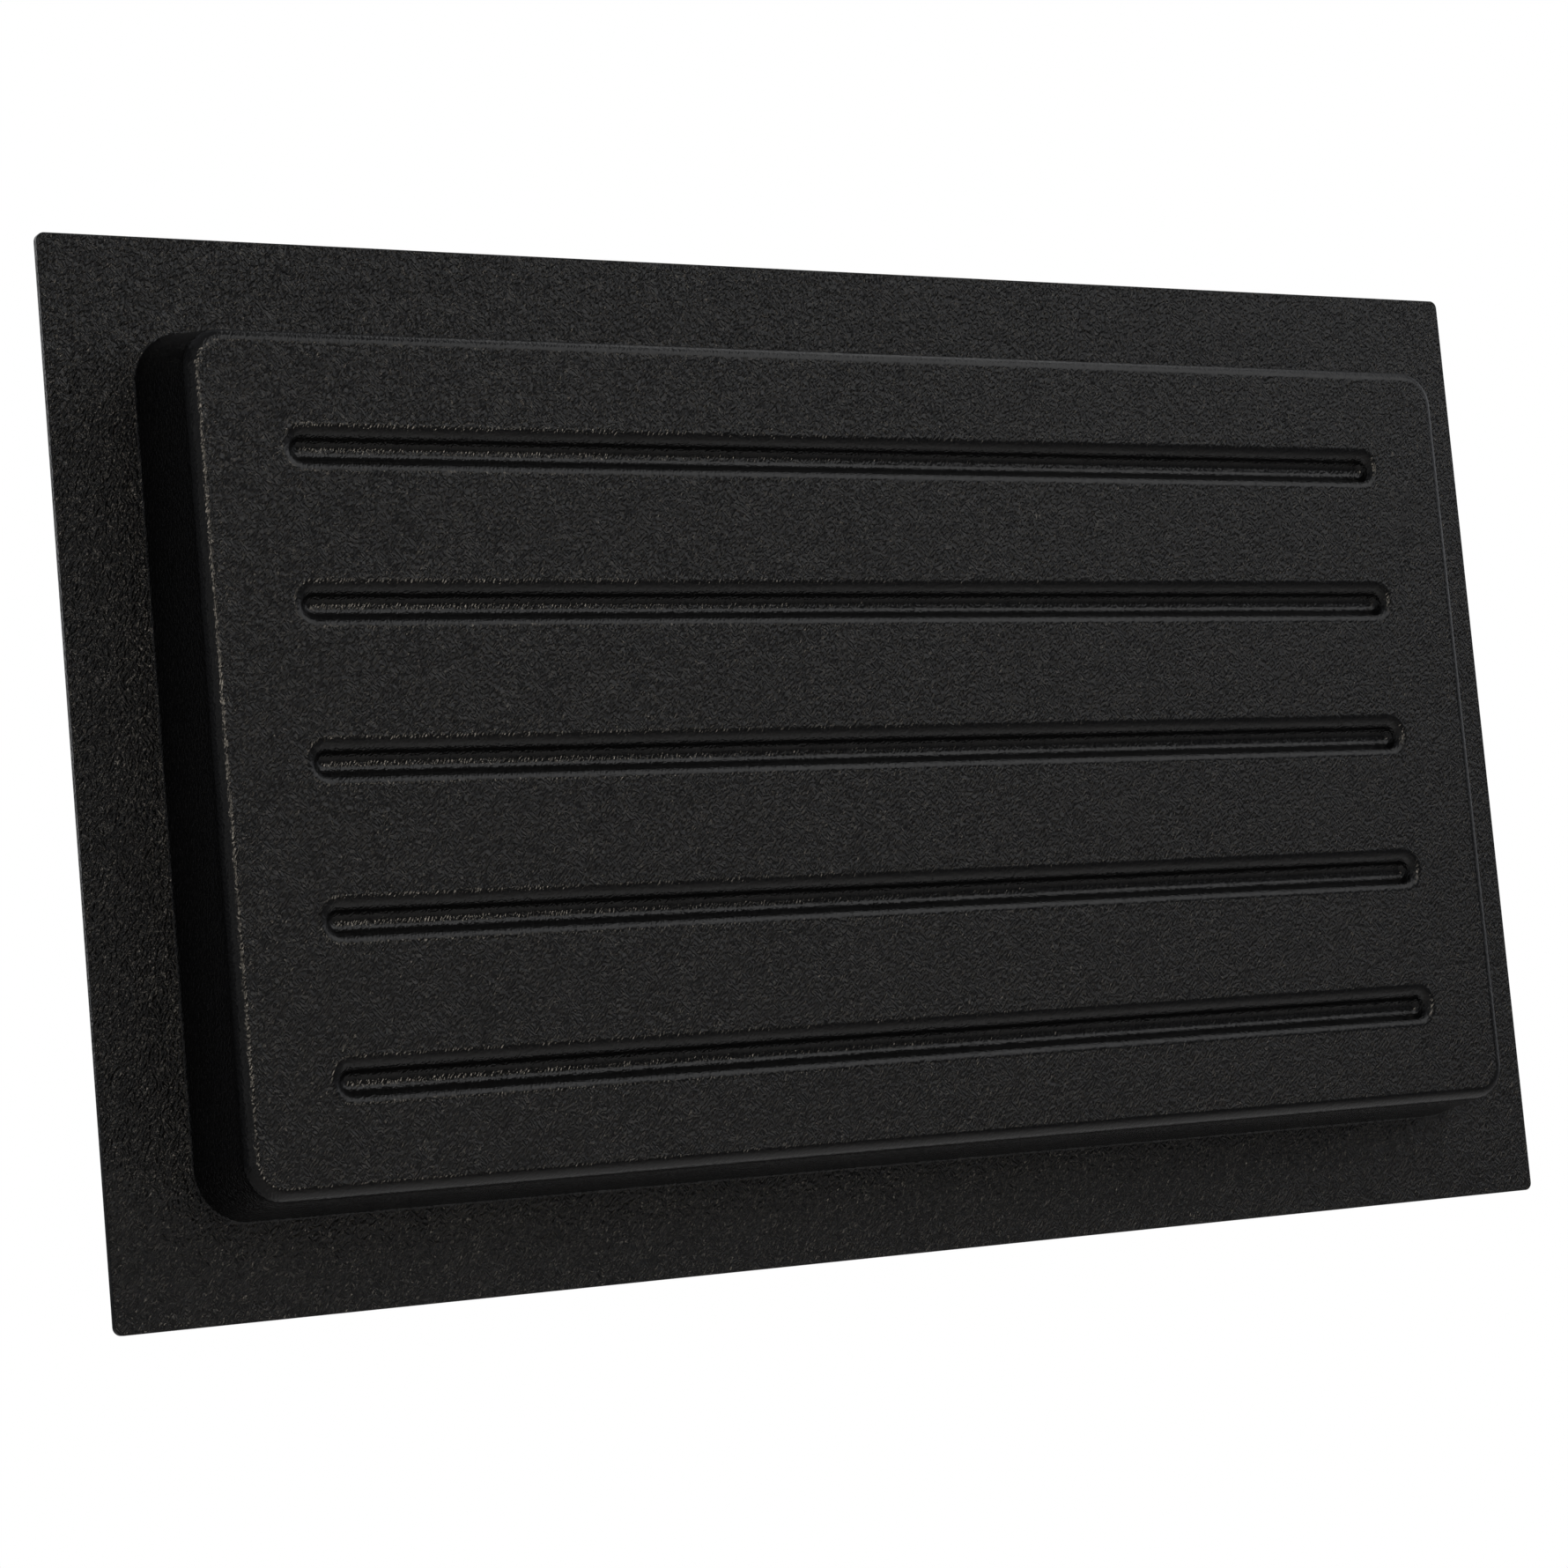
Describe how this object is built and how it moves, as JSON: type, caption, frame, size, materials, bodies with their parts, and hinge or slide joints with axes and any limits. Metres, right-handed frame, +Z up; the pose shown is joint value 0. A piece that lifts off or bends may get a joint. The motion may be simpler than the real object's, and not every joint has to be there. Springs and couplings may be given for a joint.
{
  "type": "wall punch pad",
  "caption": "Low rectangular wall-hung striking pad: a grained black formed cover with long face grooves over foam and a board, on hidden lift-off hangers.",
  "frame": {"origin": "centre of the four wall-screw holes, on the wall plane", "axes": "+X to the right along the width, +Z up, -Y out of the wall through the struck face"},
  "size_m": [0.508, 0.031, 0.305],
  "materials": {
    "cover_plastic": "black formed sheet with a fine haircell grain and a satin sheen, smoother where it is stretched",
    "soft_foam": "dark grey closed-cell foam with fine cut cells",
    "firm_foam": "mid grey firm foam, speckled",
    "batten_wood": "planed softwood, unfinished",
    "plywood": "birch plywood, unfinished, with ply lines on its edges",
    "zinc_steel": "zinc-plated steel",
    "mill_aluminium": "extruded aluminium with fine lines along its length",
    "black_rubber": "matt moulded rubber",
    "foam_tape": "matt closed-cell foam tape"
  },
  "bodies": {
    "wall_rails": {"wall_rail_upper": "mill_aluminium", "wall_rail_lower": "mill_aluminium"},
    "pad": {"cover_shell": "cover_plastic", "strike_foam": "soft_foam", "core_foam": "firm_foam", "batten_top": "batten_wood", "batten_bottom": "batten_wood", "batten_left": "batten_wood", "batten_right": "batten_wood", "backing_board": "plywood", "board_screws": "zinc_steel", "clip_screws": "zinc_steel", "tee_nuts": "zinc_steel", "clip_upper_left": "mill_aluminium", "clip_upper_right": "mill_aluminium", "clip_lower_left": "mill_aluminium", "clip_lower_right": "mill_aluminium", "bearing_pads": "black_rubber", "seal_top": "foam_tape", "seal_bottom": "foam_tape", "seal_left": "foam_tape", "seal_right": "foam_tape"}
  },
  "joints": [
    {"name": "lift_off", "type": "slide", "parent": "wall_rails", "child": "pad", "axis": [0, 0, 1], "range_m": [0, 0.009]}
  ]
}
